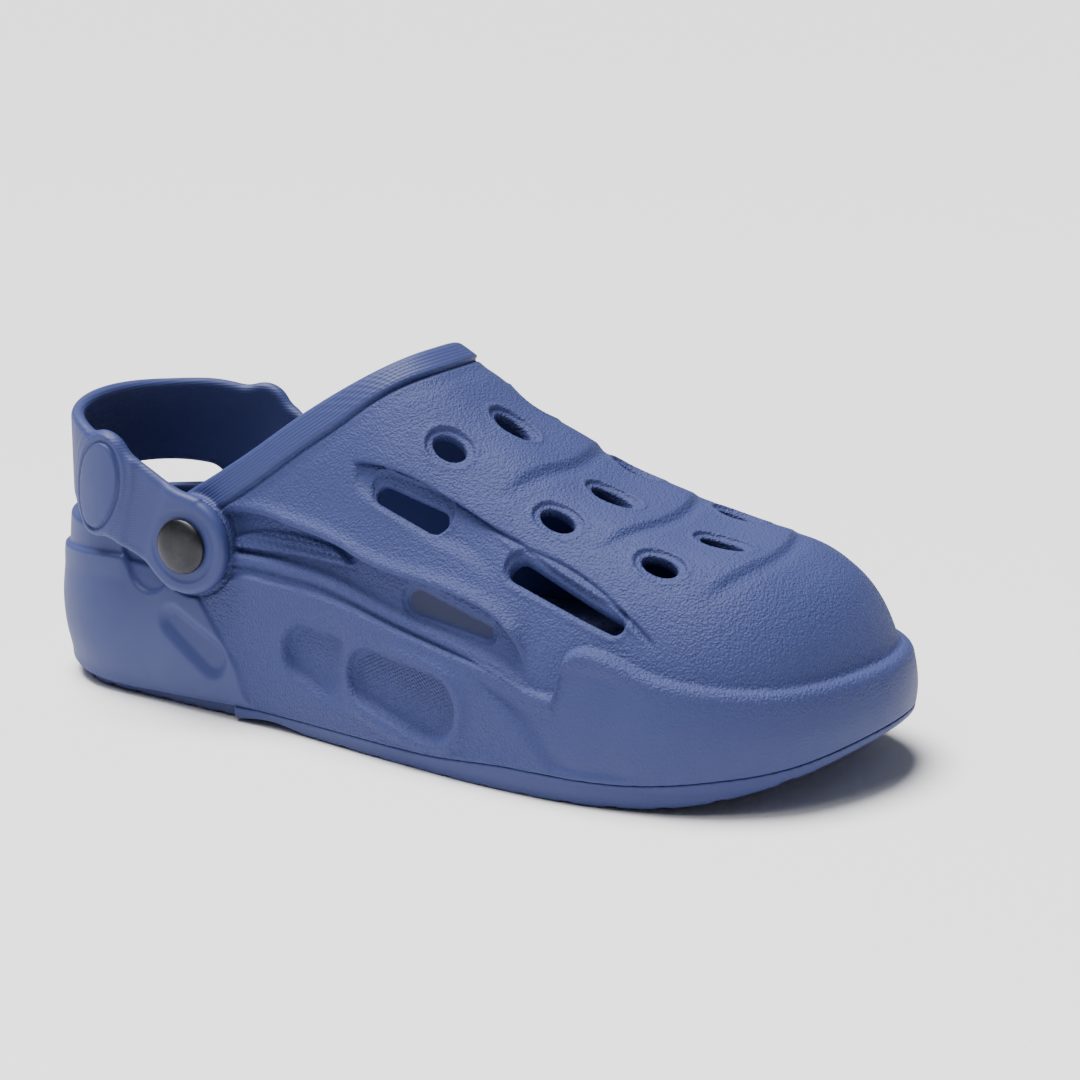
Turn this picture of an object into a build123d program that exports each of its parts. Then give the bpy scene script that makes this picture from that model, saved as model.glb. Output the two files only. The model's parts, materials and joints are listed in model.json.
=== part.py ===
"""Rubber garden clog for the right foot, with a swinging heel strap.

Frame: +X points to the toe, +Y to the inner (medial) side of the foot, +Z up. The origin is under
the middle of the clog, on the ground. Stations are millimetres forward of the heel's back.
"""
import math
import os

from build123d import *

os.makedirs("parts", exist_ok=True)

# ---------------------------------------------------------------- driving dimensions (mm)
length = 296            # heel back to toe tip
middle = 145.5          # station over the origin: the heel bulges behind station 0
centre_shift = 2.5      # the clog is drawn about the strap's middle, then moved over the origin
reach_y = 80            # half-width of every cutter that passes through both sides

roll_level = 20         # height at which the upper's side wall is widest
side_roll = 38          # how far in from the side the upper rolls over
roundness = 2.2         # exponent of the upper's rolled section, 2 is an ellipse
wall = 5                # thickness of the upper
floor_level = 24        # top of the moulded midsole inside the clog
sole_top = 48           # height of the block that the midsole and outsole are cut from
midsole_bottom = 4      # the outsole fills what is below
midsole_draw_in = 4.5   # how far the midsole's side leans in at the ground
outsole_draw_in = 1.5   # the outsole flares nearly to the full outline

pivot_station = 73      # rivets of the heel strap
pivot_height = 56
lug_room = 20           # sideways reach of the cuts that clear the lugs and the rivet backs
pad_face = 42           # |y| of the flat pads that the strap's lugs turn on
pad_radius = 17.5       # room cleared round each lug
pad_land = 15.5         # the pad itself
seat_face = 35          # |y| of the flat seats of the rivet backs, inside the clog

strap_gap = 0.3         # between a pad and a lug, and between a lug and a rivet cap
strap_thickness = 4.5
strap_angle = 19.4      # rise of the strap towards the heel
strap_reach = 65        # from the rivets to the back of the strap, along the ground
strap_straight = 24     # straight stretch of each arm before the heel curve
lug_radius = 16
boss_centre = (38, 4)   # from the rivets towards the heel, and up, in the strap's own plane
boss_length = 22
boss_height = 33
boss_rise = 0.8
# edges of the strap in side view: distance from the rivets, height over the strap's middle line
strap_top = [(0, lug_radius), (14, 16.5), (26, 18), (37, 21), (52, 18), (66, 14.5), (80, 13)]
strap_bottom = [(80, -13.5), (66, -12.5), (50, -11.5), (36, -11.5), (20, -12), (8, -14), (0, -lug_radius)]

shank_radius = 4
shank_play = 0.08       # running clearance of the shank in the lug
cap_radius = 8.8
cap_height = 3.2
back_radius = 8
back_thickness = 2.2
back_edge = 0.8

insole_thickness = 4
insole_play = 0.4
groove_depth = 2.5      # tread grooves
groove_width = 3
groove_sweep = 9        # how far each groove bows forward at its middle
heel_grooves = [14, 26, 38, 50, 62, 74]
front_grooves = [128, 142, 156, 170, 184, 198, 212, 226, 240, 254, 268]
heel_step = 88          # station where the outsole steps out to the full side
heel_draw_in = 3

# Plan outline of the sole where it is widest: station, y
outline = [
    (-2.5, 1), (4, -21), (22, -36), (60, -42), (105, -46), (150, -54), (190, -60), (225, -61),
    (255, -54), (277, -38), (289.5, -14), (293.5, 10), (287, 34), (269, 50), (240, 56), (205, 55),
    (165, 47), (125, 42), (85, 42), (50, 42), (20, 36), (2.5, 20),
]

# Cross-sections of the upper: station, lateral y, medial y, height of its top
upper_sections = [
    (1.5, -9, 12, 126), (6, -19, 20, 126), (16, -30, 30, 126), (34, -38, 38, 126),
    (62, -41, 40.5, 126), (95, -43, 40.5, 125.5), (125, -46.5, 41, 123.5), (150, -51, 43, 112),
    (175, -55, 46.5, 95), (200, -58, 51, 82), (225, -58, 52.5, 73.5), (248, -53, 49.5, 67),
    (264, -44, 44, 62), (278, -31.5, 35.5, 53), (287, -16, 25, 38),
]

# Side profiles: station, height
collar_edge = [(-5, 56), (25, 55), (48, 58), (67, 70), (90, 85), (112, 101), (134, 115), (142, 119.5),
               (150, 124)]
collar_groove = [(91, 74), (122, 94), (143, 108), (152, 114)]
midsole_top = [(-5, 43), (42, 47), (85, 45), (117, 47), (155, 42), (186, 37), (211, 31)]
bumper_top = [(216, 45), (225, 46), (243, 40), (262, 38), (302, 39)]
parting = [(-5, 8), (20, 4.5), (90, 5), (137, 5.5), (169, 6), (192, 8), (240, 9), (257, 11), (280, 15),
           (302, 24)]
tread_heel = [(-5, 5), (5, 1.2), (16, 0)]
tread_arch = [(82, 0), (101, 2), (120, 0)]
tread_toe = [(225, 0), (250, 2.5), (278, 10.5), (302, 22)]
wave_rib = [(90, 68), (114, 68), (134, 63), (158, 59), (180, 55), (195, 46)]

# Vents in the top, in rows across: pitch of the surface, then station, y, height and roll of each
vent_rows = [
    (31, [(162, -32, 94, -35), (171, -9, 98, -8), (163, 17, 99, 22)]),
    (27, [(200, -34, 77, -32), (206, -10, 81, -8), (199, 19, 82, 20)]),
    (18, [(233, -33, 67, -28), (241, -8, 69, -6), (233, 21, 71, 16)]),
]
vent_length = 15
vent_width = 9
vent_cut = 15           # how far each vent's cutter reaches from its centre

# Slots through both sides: rear end, front end, rear width, front width (stations and heights)
side_slots = [
    ((146, 81.5), (163.5, 76.5), 8, 9),
    ((194, 65.5), (227, 54.5), 8, 5.5),
]
# Blind pocket below them on both sides
side_pocket = ((160.5, 51), (186, 46), 8.5, 6)
pocket_depth = 2.5
rim_width = 3           # recessed rim round a slot or a vent
rim_depth = 1.2

# Shallow recesses in the sides of the sole: station, height, length, width, tilt
side_recesses = [(155, 20, 48, 22, -27), (118, 26, 26, 15, 82), (72, 22, 22, 17, 90)]
recess_depth = 1.5


# ---------------------------------------------------------------- helpers
def at(station, y, z):
    """A point of the clog from its station."""
    return (station - middle, y, z)


def profile(points):
    """Side-view points for a sketch on side_plane."""
    return [(station - middle, height) for station, height in points]


side_plane = Plane(origin=(0, 0, 0), x_dir=(1, 0, 0), z_dir=(0, -1, 0))
pivot_plane = Plane(origin=at(pivot_station, 0, pivot_height), x_dir=(1, 0, 0), z_dir=(0, -1, 0))


def inset_outline(inset):
    """The plan outline, moved inwards by inset."""
    points = []
    count = len(outline)
    for index, (station, y) in enumerate(outline):
        before = outline[index - 1]
        after = outline[(index + 1) % count]
        along = math.hypot(after[0] - before[0], after[1] - before[1])
        normal_s = -(after[1] - before[1]) / along
        normal_y = (after[0] - before[0]) / along
        points.append((station - middle + inset * normal_s, y + inset * normal_y))
    return points


def arch_points(lateral, medial, top, inset):
    """Half-superellipse points over one cross-section of the upper, from side to side."""
    roll = min(side_roll - inset, 0.45 * (medial - lateral) - inset)
    rise = top - inset - roll_level
    left, right = [], []
    for degrees in (0, 18, 38, 62, 90):
        inwards = roll * (1 - math.cos(math.radians(degrees)) ** (2 / roundness))
        height = roll_level + rise * math.sin(math.radians(degrees)) ** (2 / roundness)
        left.append((lateral + inset + inwards, height))
        right.append((medial - inset - inwards, height))
    return left + right[::-1]


def upper_solid(inset):
    """The upper's outer form, moved inwards by inset, down to floor level."""
    with BuildPart() as form:
        for station, lateral, medial, top in upper_sections:
            x = (station - middle) * (1 - 2 * inset / length)
            with BuildSketch(Plane(origin=(x, 0, 0), x_dir=(0, 1, 0), z_dir=(1, 0, 0))):
                with BuildLine():
                    arch = Spline(*arch_points(lateral, medial, top, inset))
                    Line(arch @ 1, arch @ 0)
                make_face()
        loft()
    return form.part


def sole_solid(inset, foot_draw_in):
    """The sole's side form: drawn in at the ground, full at mid-height, and in again at the top."""
    with BuildPart() as form:
        for height, draw_in in ((0, foot_draw_in), (sole_top / 2, 0), (sole_top, 2.5)):
            with BuildSketch(Plane.XY.offset(height)):
                with BuildLine():
                    Spline(*inset_outline(inset + draw_in), periodic=True)
                make_face()
        loft()
    return form.part


def beyond_curve(points, limit):
    """Everything between a side-view curve and the height named by limit, through both sides."""
    with BuildPart() as block:
        with BuildSketch(side_plane):
            with BuildLine():
                curve = Spline(*profile(points))
                start = curve @ 0
                end = curve @ 1
                Polyline(end, (end.X, limit), (start.X, limit), start)
            make_face()
        extrude(amount=reach_y, both=True)
    return block.part


def below_tread_surface(lift):
    """Everything below the tread's surface, raised by lift: flat under the heel and the forefoot."""
    with BuildPart() as block:
        with BuildSketch(side_plane):
            with BuildLine(Location((0, lift, 0))):
                heel = Spline(*profile(tread_heel), tangents=((1, -0.5), (1, 0)))
                arch = ThreePointArc(*profile(tread_arch))
                toe = Spline(*profile(tread_toe), tangents=((1, 0), (1, 0.6)))
                Line(heel @ 1, arch @ 0)
                Line(arch @ 1, toe @ 0)
                Polyline(toe @ 1, *profile([(302, -20), (-5, -20)]), heel @ 0)
            make_face()
        extrude(amount=reach_y, both=True)
    return block.part


def tapered_slot(rear, front, rear_width, front_width, margin):
    """A sketch of a slot with round ends of two sizes, in side view."""
    with BuildSketch() as sketch:
        with Locations(profile([rear])[0]):
            Circle(rear_width / 2 + margin)
        with Locations(profile([front])[0]):
            Circle(front_width / 2 + margin)
        make_hull()
    return sketch.sketch


# ---------------------------------------------------------------- shared forms
upper_outer = upper_solid(0)
upper_inner = upper_solid(wall)
upper_rim_skin = upper_solid(rim_depth)
upper_rib_skin = upper_solid(-1.5)
upper_pocket_skin = upper_solid(pocket_depth)
sole_block = sole_solid(0, midsole_draw_in)
sole_recess_skin = sole_solid(recess_depth, midsole_draw_in)

above_collar = beyond_curve(collar_edge, 160)
below_parting = beyond_curve(parting, -20)
below_tread = below_tread_surface(0)

# ---------------------------------------------------------------- clog body: upper and midsole in one
with BuildPart() as midsole:
    add(sole_block)
    with BuildSketch(side_plane):
        with BuildLine():
            rear_top = Spline(*profile(midsole_top))
            toe_top = Spline(*profile(bumper_top))
            Line(rear_top @ 1, toe_top @ 0)
            Polyline(toe_top @ 1, *profile([(302, midsole_bottom), (-5, midsole_bottom)]), rear_top @ 0)
        make_face()
    extrude(amount=reach_y, both=True, mode=Mode.INTERSECT)

with BuildPart() as clog_body:
    add(upper_outer)
    add(midsole.part)
    # the wave rib along both sides
    with BuildPart(mode=Mode.PRIVATE) as rib:
        with BuildSketch(side_plane):
            with BuildLine():
                Spline(*profile(wave_rib))
            trace(line_width=4)
        extrude(amount=reach_y, both=True)
        add(upper_rib_skin, mode=Mode.INTERSECT)
    add(rib.part)
    # pads that the strap's lugs turn on
    with BuildSketch(pivot_plane):
        Circle(pad_land)
    extrude(amount=pad_face, both=True)
    add(above_collar, mode=Mode.SUBTRACT)
    # the foot cavity, down to the floor
    with BuildPart(mode=Mode.PRIVATE) as cavity:
        add(upper_inner)
        with Locations((0, 0, floor_level - sole_top)):
            Box(length, 2 * reach_y, 2 * sole_top, mode=Mode.SUBTRACT)
    add(cavity.part, mode=Mode.SUBTRACT)
    # clearance and seats at the rivets: lugs outside, backs inside, shank through
    for side in (-1, 1):
        with BuildSketch(pivot_plane.offset(side * pad_face)):
            Circle(pad_radius)
        extrude(amount=side * lug_room, mode=Mode.SUBTRACT)
        with BuildSketch(pivot_plane.offset(side * seat_face)):
            Circle(back_radius + 1)
        extrude(amount=-side * lug_room, mode=Mode.SUBTRACT)
    with BuildSketch(pivot_plane):
        Circle(shank_radius)
    extrude(amount=reach_y, both=True, mode=Mode.SUBTRACT)
    # vents, each with a shallow recessed rim
    for pitch, row in vent_rows:
        for station, y, height, roll in row:
            normal = (math.tan(math.radians(pitch)), math.tan(math.radians(roll)), 1)
            forwards = (1, 0, -math.tan(math.radians(pitch)))
            vent_plane = Plane(origin=at(station, y, height), x_dir=forwards, z_dir=normal)
            with BuildPart(mode=Mode.PRIVATE) as vent_rim:
                with BuildSketch(vent_plane):
                    Ellipse(vent_length / 2 + rim_width, vent_width / 2 + rim_width)
                extrude(amount=vent_cut, both=True)
                add(upper_rim_skin, mode=Mode.SUBTRACT)
            add(vent_rim.part, mode=Mode.SUBTRACT)
            with BuildSketch(vent_plane):
                Ellipse(vent_length / 2, vent_width / 2)
            extrude(amount=vent_cut, both=True, mode=Mode.SUBTRACT)
    # blind pocket on both sides
    with BuildPart(mode=Mode.PRIVATE) as pockets:
        with BuildSketch(side_plane):
            add(tapered_slot(*side_pocket, 0))
        extrude(amount=reach_y, both=True)
        add(upper_pocket_skin, mode=Mode.SUBTRACT)
    add(pockets.part, mode=Mode.SUBTRACT)
    # slots through both sides, with recessed rims
    for rear, front, rear_width, front_width in side_slots:
        with BuildPart(mode=Mode.PRIVATE) as slot_rim:
            with BuildSketch(side_plane):
                add(tapered_slot(rear, front, rear_width, front_width, rim_width))
            extrude(amount=reach_y, both=True)
            add(upper_rim_skin, mode=Mode.SUBTRACT)
        add(slot_rim.part, mode=Mode.SUBTRACT)
        with BuildSketch(side_plane):
            add(tapered_slot(rear, front, rear_width, front_width, 0))
        extrude(amount=reach_y, both=True, mode=Mode.SUBTRACT)
    # groove below the collar band
    with BuildPart(mode=Mode.PRIVATE) as groove:
        with BuildSketch(side_plane):
            with BuildLine():
                Spline(*profile(collar_groove))
            trace(line_width=2)
        extrude(amount=reach_y, both=True)
        add(upper_rim_skin, mode=Mode.SUBTRACT)
    add(groove.part, mode=Mode.SUBTRACT)
    # shallow recesses in the sides of the midsole
    with BuildPart(mode=Mode.PRIVATE) as recesses:
        with BuildSketch(side_plane):
            for station, height, slot_length, slot_width, tilt in side_recesses:
                with Locations(Location((*profile([(station, height)])[0], 0), (0, 0, tilt))):
                    SlotOverall(slot_length, slot_width)
        extrude(amount=reach_y, both=True)
        add(sole_recess_skin, mode=Mode.SUBTRACT)
    add(recesses.part, mode=Mode.SUBTRACT)
    # the outsole's place
    add(below_parting, mode=Mode.SUBTRACT)
clog_body.part.label = "clog_body"

# ---------------------------------------------------------------- outsole with tread
groove_tops = below_tread_surface(groove_depth)

with BuildPart() as outsole:
    add(sole_solid(0, outsole_draw_in))
    with Locations((heel_step - middle - length / 2, 0, 0)):
        Box(length, 2 * reach_y, 2 * sole_top, mode=Mode.SUBTRACT)
    add(sole_solid(heel_draw_in, midsole_draw_in))
    add(below_parting, mode=Mode.INTERSECT)
    add(below_tread, mode=Mode.SUBTRACT)
    with BuildPart(mode=Mode.PRIVATE) as grooves:
        with BuildSketch(Plane.XY):
            with BuildLine():
                for station in heel_grooves + front_grooves:
                    ThreePointArc(
                        at(station, -reach_y, 0),
                        at(station + groove_sweep, 0, 0),
                        at(station, reach_y, 0),
                    )
            trace(line_width=groove_width)
        extrude(amount=sole_top, both=True)
        add(groove_tops, mode=Mode.INTERSECT)
    add(grooves.part, mode=Mode.SUBTRACT)
outsole.part.label = "outsole"

# ---------------------------------------------------------------- insole, a loose footbed
insole_fit = upper_solid(wall + insole_play)

with BuildPart() as insole:
    add(insole_fit)
    with Locations((0, 0, floor_level + insole_thickness / 2)):
        Box(length, 2 * reach_y, insole_thickness, mode=Mode.INTERSECT)
insole.part.label = "insole"

# ---------------------------------------------------------------- heel strap
inner_half = pad_face + strap_gap
outer_half = inner_half + strap_thickness
strap_plan = Plane(pivot_plane.origin, x_dir=(-1, 0, 0), z_dir=(0, 0, 1))
strap_side = Plane(pivot_plane.origin, x_dir=(-1, 0, 0), z_dir=(0, 1, 0)).rotated((0, strap_angle, 0))


def strap_ring(raised):
    """The U of the strap in plan, as a tall wall, with its outer face raised."""
    with BuildPart() as ring:
        with BuildSketch(strap_plan.offset(-sole_top)):
            for grow, mode in ((strap_thickness + raised, Mode.ADD), (0, Mode.SUBTRACT)):
                half = inner_half + grow
                bow = strap_reach - strap_thickness - strap_straight + grow
                with BuildLine():
                    heel_curve = EllipticalCenterArc((strap_straight, 0), bow, half, -90, arc_size=180)
                    Polyline(heel_curve @ 1, (-half, half), (-half, -half), heel_curve @ 0)
                make_face(mode=mode)
        extrude(amount=2 * sole_top)
    return ring.part


with BuildPart() as heel_strap:
    add(strap_ring(0))
    with BuildPart(mode=Mode.PRIVATE) as side_view:
        with BuildSketch(strap_side):
            with BuildLine():
                top_edge = Spline(*strap_top, tangents=((1, 0), (1, -0.1)))
                bottom_edge = Spline(*strap_bottom, tangents=((-1, 0), (-1, 0)))
                Line(top_edge @ 1, bottom_edge @ 0)
                Line(bottom_edge @ 1, top_edge @ 0)
            make_face()
            Circle(lug_radius)
        extrude(amount=reach_y, both=True)
    add(side_view.part, mode=Mode.INTERSECT)
    with BuildSketch(pivot_plane):
        Circle(shank_radius + shank_play)
    extrude(amount=reach_y, both=True, mode=Mode.SUBTRACT)
    # raised oval boss on each arm
    with BuildPart(mode=Mode.PRIVATE) as bosses:
        with BuildSketch(strap_side):
            with Locations(boss_centre):
                Ellipse(boss_length / 2, boss_height / 2)
        extrude(amount=reach_y, both=True)
        add(strap_ring(boss_rise), mode=Mode.INTERSECT)
    add(bosses.part)
heel_strap.part.label = "heel_strap"

# ---------------------------------------------------------------- rivets: a cap with its shank, and a back
pieces = [clog_body, outsole, insole, heel_strap]
cap_base = outer_half + strap_gap
for side, side_name in ((-1, "lateral"), (1, "medial")):
    facing = Plane(pivot_plane.origin, x_dir=(1, 0, 0), z_dir=(0, side, 0))
    outwards = Axis(facing.origin, facing.z_dir)
    with BuildPart() as cap:
        with BuildSketch(facing.offset(cap_base)):
            Circle(cap_radius)
        extrude(amount=cap_height, taper=30)
        fillet(cap.faces().sort_by(outwards)[-1].edges(), radius=2)
        with BuildSketch(facing.offset(seat_face - back_thickness)):
            Circle(shank_radius)
        extrude(amount=cap_base - seat_face + back_thickness)
    cap.part.label = f"rivet_cap_{side_name}"
    with BuildPart() as back:
        with BuildSketch(facing.offset(seat_face - back_thickness)):
            Circle(back_radius)
            Circle(shank_radius, mode=Mode.SUBTRACT)
        extrude(amount=back_thickness)
        chamfer(back.faces().sort_by(outwards)[0].outer_wire().edges(), length=back_edge)
    back.part.label = f"rivet_back_{side_name}"
    pieces += [cap, back]

for piece in pieces:
    placed = Pos(0, centre_shift, 0) * piece.part
    placed.label = piece.part.label
    export_step(placed, f"parts/{placed.label}.step")
    print(placed.label, round(placed.volume), len(placed.solids()), placed.bounding_box())
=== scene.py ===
"""Rubber garden clog: the visual model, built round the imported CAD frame.

The moulded pieces are fields. A field is a function of station, width and height, in millimetres, that
is negative inside the rubber and grows by about 1 a millimetre outwards. Raised and sunken detail is
added to it as a displacement of its surface. Each field is meshed finely and its points are then moved
onto the exact surface. Stations run forward from the heel, width is positive to the inner side of the
foot, and height is above the ground.
"""
import json
import math

import bmesh
import bpy
import numpy as np
import openvdb
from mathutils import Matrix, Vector


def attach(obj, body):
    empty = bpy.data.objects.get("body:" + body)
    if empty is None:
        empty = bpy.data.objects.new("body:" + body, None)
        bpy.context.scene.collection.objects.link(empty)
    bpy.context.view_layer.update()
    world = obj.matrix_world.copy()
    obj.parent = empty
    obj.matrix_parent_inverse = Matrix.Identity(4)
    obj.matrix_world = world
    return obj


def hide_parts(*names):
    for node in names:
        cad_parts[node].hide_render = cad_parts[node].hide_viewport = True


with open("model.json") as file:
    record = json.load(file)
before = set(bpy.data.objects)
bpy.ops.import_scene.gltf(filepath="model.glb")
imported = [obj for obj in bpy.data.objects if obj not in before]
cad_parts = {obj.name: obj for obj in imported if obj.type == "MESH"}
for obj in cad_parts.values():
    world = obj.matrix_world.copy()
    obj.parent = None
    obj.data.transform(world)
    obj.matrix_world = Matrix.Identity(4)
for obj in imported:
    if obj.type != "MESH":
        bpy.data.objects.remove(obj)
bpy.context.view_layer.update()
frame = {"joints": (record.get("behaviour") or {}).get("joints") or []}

# ---------------------------------------------------------------- the strap's pivot and its pads, mm
MM = 1000.0
PIVOT = (73.0, 0.0, 56.0)                       # the strap's pivot in stations, width and height
pivot_m = frame["joints"][0]["pos_m"]
ORIGIN = np.array([PIVOT[0] - pivot_m[0] * MM, -pivot_m[1] * MM, 0.0])
PAD_FACE = 42.0                                 # flat pads under the strap's lugs
SEAT_FACE = 35.0                                # flat seats of the rivet backs, inside the clog
PAD_RADIUS = 15.0
LUG_ROOM = 17.4                                 # radius kept flat round a pad, so that the lug can turn
SEAT_RADIUS = 9.0
SHANK_HOLE = 4.0                                # radius
STRAP_ANGLE = math.radians(19.4)

# ---------------------------------------------------------------- resolution
FINE = 0.64              # grid step of the clog body, mm
FINE_SMALL = 0.55        # grid step of the strap, outsole and insole, mm
GROUND_GAP = 0.02                               # no point of a mesh is lower than this, mm


# ================================================================ curves and distances
def curve(*knots):
    """A smooth function through (position, value) knots, held constant beyond the last ones."""
    at = np.array([knot[0] for knot in knots], float)
    value = np.array([knot[1] for knot in knots], float)
    gap = np.diff(at)
    rise = np.diff(value) / gap
    slope = np.zeros(len(at))
    slope[1:-1] = (rise[:-1] * gap[1:] + rise[1:] * gap[:-1]) / (gap[:-1] + gap[1:])
    slope[0], slope[-1] = rise[0], rise[-1]

    def read(x):
        x = np.clip(x, at[0], at[-1])
        i = np.clip(np.searchsorted(at, x, side="right") - 1, 0, len(at) - 2)
        u = (x - at[i]) / gap[i]
        ends = (1 + 2 * u) * (1 - u) ** 2 * value[i] + u * u * (3 - 2 * u) * value[i + 1]
        return ends + gap[i] * (u * (1 - u) ** 2 * slope[i] + u * u * (u - 1) * slope[i + 1])

    return read


def closed_curve(points, per_span=24):
    """Points along a smooth closed curve through the given ones (centripetal Catmull-Rom)."""
    points = np.array(points, float)
    count = len(points)
    spans = []
    for i in range(count):
        p0, p1, p2, p3 = points[i - 1], points[i], points[(i + 1) % count], points[(i + 2) % count]
        t1 = np.linalg.norm(p1 - p0) ** 0.5
        t2 = t1 + np.linalg.norm(p2 - p1) ** 0.5
        t3 = t2 + np.linalg.norm(p3 - p2) ** 0.5
        t = np.linspace(t1, t2, per_span, endpoint=False)[:, None]
        a1 = ((t1 - t) * p0 + t * p1) / t1
        a2 = ((t2 - t) * p1 + (t - t1) * p2) / (t2 - t1)
        a3 = ((t3 - t) * p2 + (t - t2) * p3) / (t3 - t2)
        b1 = ((t2 - t) * a1 + t * a2) / t2
        b2 = ((t3 - t) * a2 + (t - t1) * a3) / (t3 - t1)
        spans.append(((t2 - t) * b1 + (t - t1) * b2) / (t2 - t1))
    return np.concatenate(spans)


class PlanDistance:
    """Signed distance in plan to a closed outline, negative inside, read smoothly from a 1 mm grid."""

    MARGIN = 24.0

    def __init__(self, outline):
        self.low = outline.min(0) - self.MARGIN
        self.size = np.ceil(outline.max(0) + self.MARGIN - self.low).astype(int) + 1
        grid = np.meshgrid(*(self.low[k] + np.arange(self.size[k]) for k in (0, 1)), indexing="ij")
        query = np.stack([g.ravel() for g in grid], 1)
        nearest = np.full(len(query), 1e9)
        crossings = np.zeros(len(query), int)
        for a, b in zip(outline, np.roll(outline, -1, 0)):
            side = b - a
            t = np.clip((query - a) @ side / (side @ side), 0, 1)
            nearest = np.minimum(nearest, ((query - a - t[:, None] * side) ** 2).sum(1))
            spans = (a[1] > query[:, 1]) != (b[1] > query[:, 1])
            if spans.any():
                reach = (query[:, 1] - a[1]) / (side[1] + 1e-30) * side[0] + a[0]
                crossings += spans & (query[:, 0] < reach)
        self.values = (np.sqrt(nearest) * np.where(crossings % 2, -1, 1)).reshape(self.size)

    @staticmethod
    def weights(t):
        return (
            -0.5 * t + t * t - 0.5 * t ** 3,
            1 - 2.5 * t * t + 1.5 * t ** 3,
            0.5 * t + 2 * t * t - 1.5 * t ** 3,
            -0.5 * t * t + 0.5 * t ** 3,
        )

    def __call__(self, s, y):
        u = np.clip(s - self.low[0], 1, self.size[0] - 2.001)
        v = np.clip(y - self.low[1], 1, self.size[1] - 2.001)
        i, j = u.astype(int), v.astype(int)
        across, along = self.weights(u - i), self.weights(v - j)
        total = 0.0
        for a in range(4):
            row = sum(along[b] * self.values[i + a - 1, j + b - 1] for b in range(4))
            total = total + across[a] * row
        return total


def smooth_max(a, b, radius):
    """The larger of two fields, with the corner between them rounded."""
    blend = np.maximum(radius - np.abs(a - b), 0)
    return np.maximum(a, b) + blend * blend / (4 * radius)


def smooth_min(a, b, radius):
    return -smooth_max(-a, -b, radius)


def ramp(x, low, high):
    """0 below low, 1 above high, smooth between."""
    t = np.clip((x - low) / (high - low), 0, 1)
    return t * t * (3 - 2 * t)


def bump(x, width):
    return np.exp(-(x / width) ** 2)


def height_above(line, s, z):
    """Distance above a side-view curve, positive upwards."""
    slope = (line(s + 1) - line(s - 1)) / 2
    return (z - line(s)) / np.sqrt(1 + slope * slope)


def slot_distance(s, z, rear, front, rear_radius, front_radius):
    """Side-view distance to a slot whose round ends have two sizes, negative inside."""
    run_s, run_z = front[0] - rear[0], front[1] - rear[1]
    t = np.clip(((s - rear[0]) * run_s + (z - rear[1]) * run_z) / (run_s ** 2 + run_z ** 2), 0, 1)
    away = np.hypot(s - rear[0] - t * run_s, z - rear[1] - t * run_z)
    return away - (rear_radius + t * (front_radius - rear_radius))


# ================================================================ the clog's form
PLAN = PlanDistance(closed_curve([
    (-2.5, 1), (4, -21), (22, -36), (60, -42), (105, -46), (150, -54), (190, -60), (225, -61),
    (255, -54), (277, -38), (289.5, -14), (293.5, 10), (287, 34), (269, 50), (240, 56), (205, 55),
    (165, 47), (125, 42), (85, 42), (50, 42), (20, 36), (2.5, 20),
]))
ROLL_LEVEL = 20.0
ROUNDNESS = 2.2
WALL = 5.0
FLOOR = 24.0

crown = curve((0, 126), (120, 124), (140, 118.2), (152, 110.5), (165, 101.5), (200, 82), (235, 70.7),
              (265, 64.3), (278, 60), (286, 54))
roll_width = curve((0, 34), (60, 36), (100, 38), (140, 40), (180, 42), (220, 41), (260, 34), (296, 27))
lean = curve((0, 2.5), (60, 2), (100, 2), (150, 2.5), (200, 2.5), (230, 2.7), (262, 3.2), (296, 4.2))
collar_edge = curve((-5, 55.5), (25, 55), (48, 58), (67, 70), (90, 85), (112, 101), (134, 115), (142, 119.5))
collar_groove = curve((60, 52), (73, 61), (80, 66), (97, 78), (109, 87), (126, 99), (135, 106), (143, 111),
                      (149, 113.5), (165, 119))
rear_rim = curve((-5, 43), (42, 47), (83, 46), (94, 48), (105, 47.5), (121, 47), (138, 45), (154, 42),
                 (173, 39), (191, 36), (203, 32.5), (211, 32))
toe_rim = curve((211, 40), (215, 44), (219, 46.2), (225, 46), (242, 40.5), (254, 38.5), (267, 37),
                (283, 36.5), (296, 37))
parting = curve((-5, 8), (20, 4.5), (90, 5), (137, 5.5), (169, 6), (192, 8), (240, 9), (257, 11), (280, 15),
                (298, 22))
tread = curve((-5, 5), (5, 1.4), (16, 0.3), (19, 0.3), (80, 0.3), (83, 0.35), (101, 2.1), (119, 0.35),
              (122, 0.3), (221, 0.3), (225, 0.4), (250, 2.6), (278, 10.5), (298, 20))

# How far the sole's side stands outside the plan outline, by station, at four heights
SOLE_HEIGHTS = (0, 10, 24, 44)
sole_flare = (
    curve((0, -8), (30, -6), (60, -4.5), (110, -2), (150, -1), (200, -2), (260, -5), (296, -7)),
    curve((0, -2.5), (30, -1.5), (60, -1), (110, 0), (150, 0), (200, 0), (260, -1.5), (296, -3)),
    curve((0, -0.1), (60, 0), (110, 0), (200, -0.3), (260, -0.3), (296, -0.3)),
    curve((0, -2), (30, -1.5), (60, -1.5), (110, -1), (200, -2), (260, -3), (296, -4.5)),
)


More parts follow.
